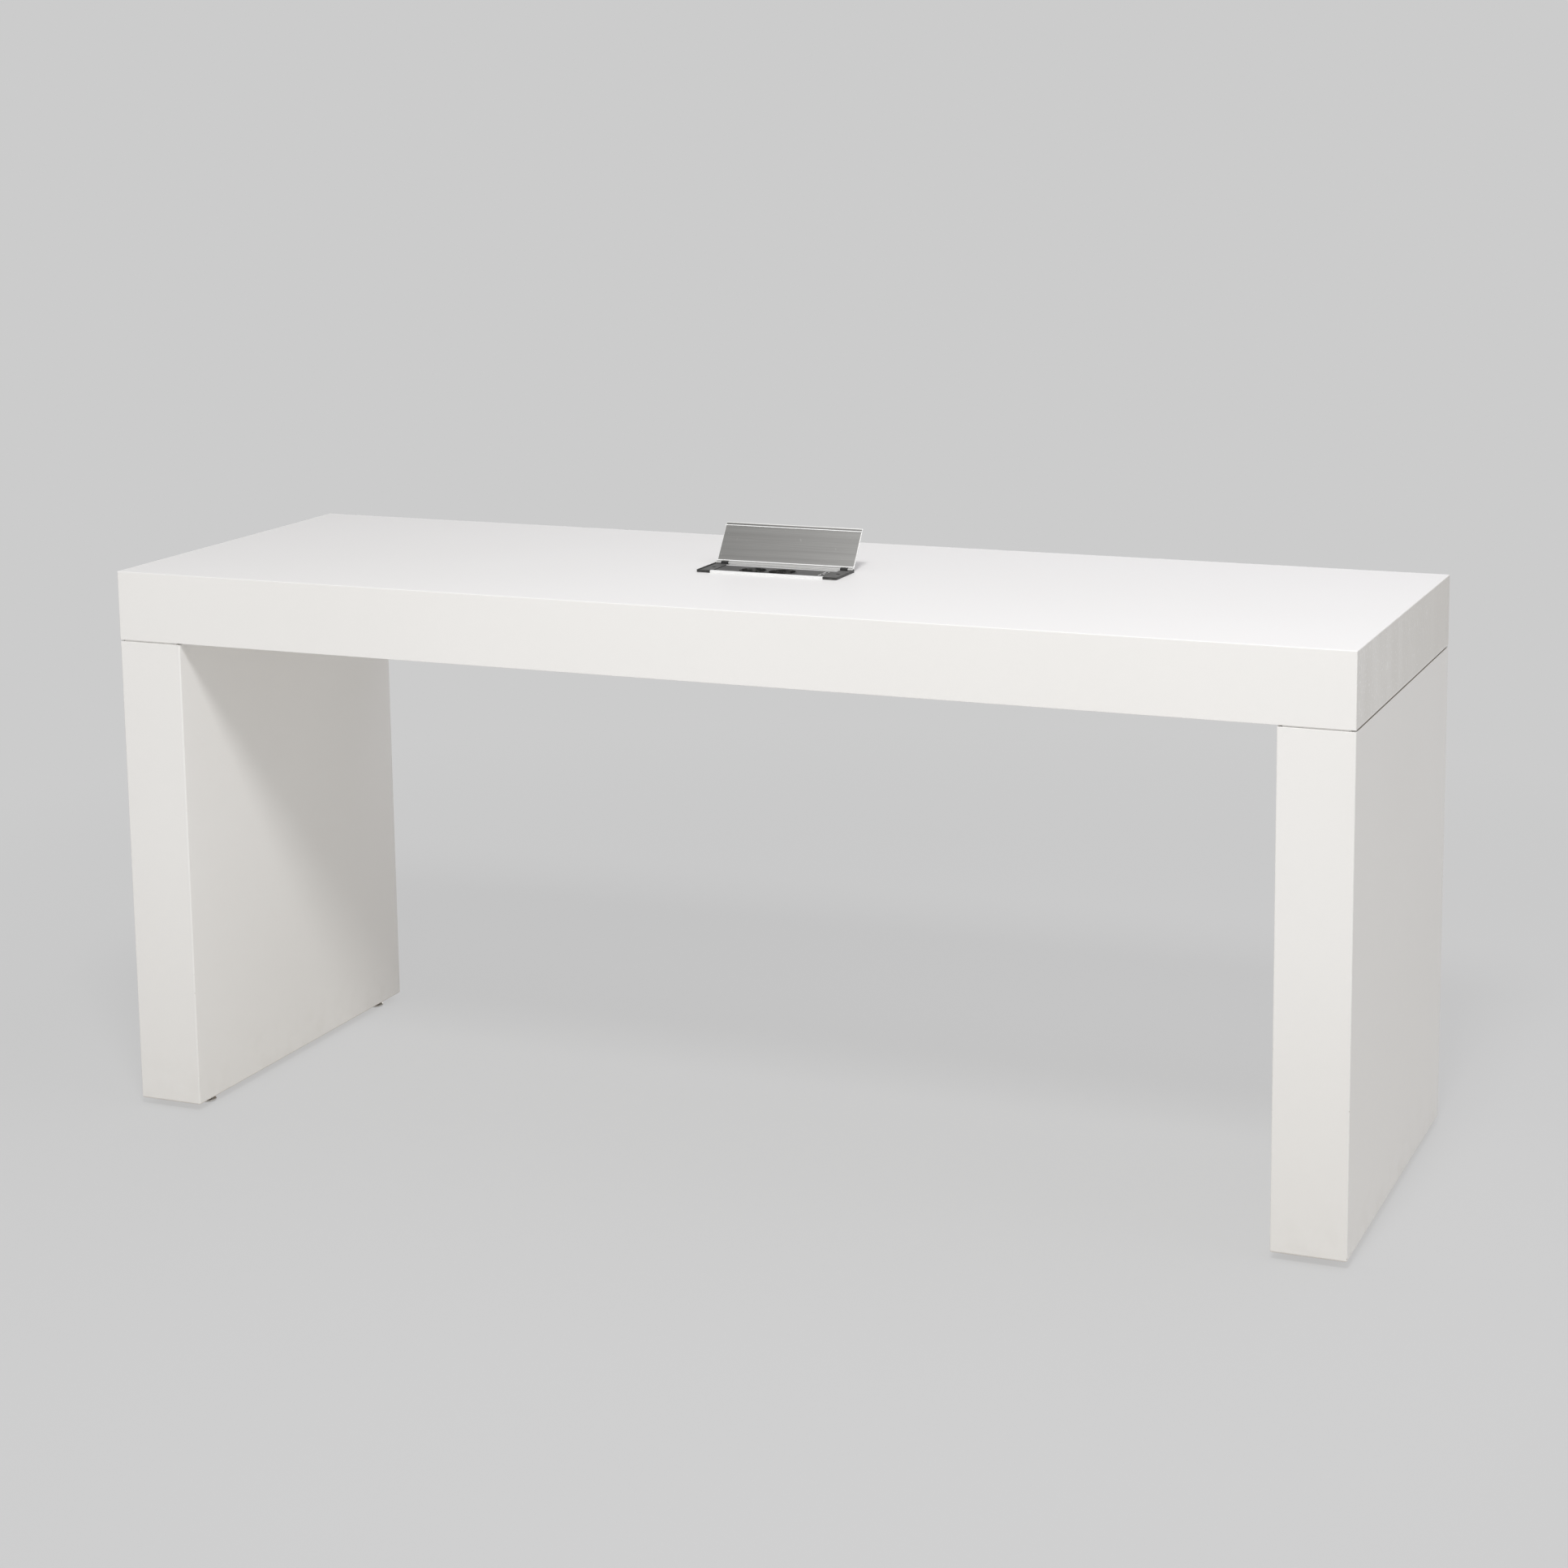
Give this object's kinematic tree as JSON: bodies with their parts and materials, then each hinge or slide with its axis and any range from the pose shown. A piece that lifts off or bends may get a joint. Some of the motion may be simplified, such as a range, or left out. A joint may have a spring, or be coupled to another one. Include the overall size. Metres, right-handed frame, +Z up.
{
  "type": "conference table",
  "caption": "White lacquered bridge table: a thick slab on block legs with levelling feet and a flip-lid power unit set in the middle of the top.",
  "frame": {"origin": "on the floor under the middle of the table's plan outline, in the plane the feet stand on", "axes": "+X along the table to the right seen from the front, +Y from the front edge to the back, +Z up"},
  "size_m": [1.8, 0.58, 0.8537],
  "materials": {
    "white_lacquer": "satin white lacquer",
    "raw_fibreboard": "raw fibreboard",
    "spacer_black": "matt black",
    "zinc_steel": "zinc plated",
    "foot_metal": "turned, nickel",
    "bright_aluminium": "anodised, bright",
    "brushed_aluminium": "anodised, brushed lengthwise",
    "grey_plastic": "matt dark grey",
    "black_plastic": "satin black",
    "contact_brass": "plain spring brass"
  },
  "bodies": {
    "table": {"tabletop_panel": "white_lacquer", "front_apron": "white_lacquer", "rear_apron": "white_lacquer", "left_end_apron": "white_lacquer", "right_end_apron": "white_lacquer", "underside_panel": "white_lacquer", "left_leg_outer_panel": "white_lacquer", "left_leg_inner_panel": "white_lacquer", "left_leg_front_board": "white_lacquer", "left_leg_rear_board": "white_lacquer", "right_leg_outer_panel": "white_lacquer", "right_leg_inner_panel": "white_lacquer", "right_leg_front_board": "white_lacquer", "right_leg_rear_board": "white_lacquer", "left_bearer": "raw_fibreboard", "right_bearer": "raw_fibreboard", "left_rib": "raw_fibreboard", "right_rib": "raw_fibreboard", "left_leg_top_rail": "raw_fibreboard", "left_leg_bottom_rail": "raw_fibreboard", "right_leg_top_rail": "raw_fibreboard", "right_leg_bottom_rail": "raw_fibreboard", "left_shadow_spacer": "spacer_black", "right_shadow_spacer": "spacer_black", "left_front_tie_bolt": "zinc_steel", "left_rear_tie_bolt": "zinc_steel", "right_front_tie_bolt": "zinc_steel", "right_rear_tie_bolt": "zinc_steel", "left_front_inner_foot_insert": "zinc_steel", "left_front_outer_foot_insert": "zinc_steel", "left_rear_inner_foot_insert": "zinc_steel", "left_rear_outer_foot_insert": "zinc_steel", "right_front_inner_foot_insert": "zinc_steel", "right_front_outer_foot_insert": "zinc_steel", "right_rear_inner_foot_insert": "zinc_steel", "right_rear_outer_foot_insert": "zinc_steel", "left_hinge_pin": "zinc_steel", "left_cap_screw": "zinc_steel", "right_hinge_pin": "zinc_steel", "right_cap_screw": "zinc_steel", "power_tray": "bright_aluminium", "power_face_plate": "grey_plastic", "power_left_end_cap": "grey_plastic", "power_right_end_cap": "grey_plastic", "left_socket_well": "black_plastic", "right_socket_well": "black_plastic", "charger_block": "black_plastic", "power_inlet": "black_plastic", "left_earth_strap": "contact_brass", "right_earth_strap": "contact_brass"},
    "lid": {"power_lid": "brushed_aluminium"},
    "left_front_inner_foot_body": {"left_front_inner_foot": "foot_metal"},
    "left_front_outer_foot_body": {"left_front_outer_foot": "foot_metal"},
    "left_rear_inner_foot_body": {"left_rear_inner_foot": "foot_metal"},
    "left_rear_outer_foot_body": {"left_rear_outer_foot": "foot_metal"},
    "right_front_inner_foot_body": {"right_front_inner_foot": "foot_metal"},
    "right_front_outer_foot_body": {"right_front_outer_foot": "foot_metal"},
    "right_rear_inner_foot_body": {"right_rear_inner_foot": "foot_metal"},
    "right_rear_outer_foot_body": {"right_rear_outer_foot": "foot_metal"}
  },
  "joints": [
    {"name": "lid_hinge", "type": "hinge", "parent": "table", "child": "lid", "pos_m": [0, 0.0375, 0.8004], "axis": [1, 0, 0], "range_deg": [0, 125]},
    {"name": "left_front_inner_foot_screw", "type": "slide", "parent": "table", "child": "left_front_inner_foot_body", "axis": [0, 0, -1], "range_m": [0, 0.012]},
    {"name": "left_front_outer_foot_screw", "type": "slide", "parent": "table", "child": "left_front_outer_foot_body", "axis": [0, 0, -1], "range_m": [0, 0.012]},
    {"name": "left_rear_inner_foot_screw", "type": "slide", "parent": "table", "child": "left_rear_inner_foot_body", "axis": [0, 0, -1], "range_m": [0, 0.012]},
    {"name": "left_rear_outer_foot_screw", "type": "slide", "parent": "table", "child": "left_rear_outer_foot_body", "axis": [0, 0, -1], "range_m": [0, 0.012]},
    {"name": "right_front_inner_foot_screw", "type": "slide", "parent": "table", "child": "right_front_inner_foot_body", "axis": [0, 0, -1], "range_m": [0, 0.012]},
    {"name": "right_front_outer_foot_screw", "type": "slide", "parent": "table", "child": "right_front_outer_foot_body", "axis": [0, 0, -1], "range_m": [0, 0.012]},
    {"name": "right_rear_inner_foot_screw", "type": "slide", "parent": "table", "child": "right_rear_inner_foot_body", "axis": [0, 0, -1], "range_m": [0, 0.012]},
    {"name": "right_rear_outer_foot_screw", "type": "slide", "parent": "table", "child": "right_rear_outer_foot_body", "axis": [0, 0, -1], "range_m": [0, 0.012]}
  ]
}
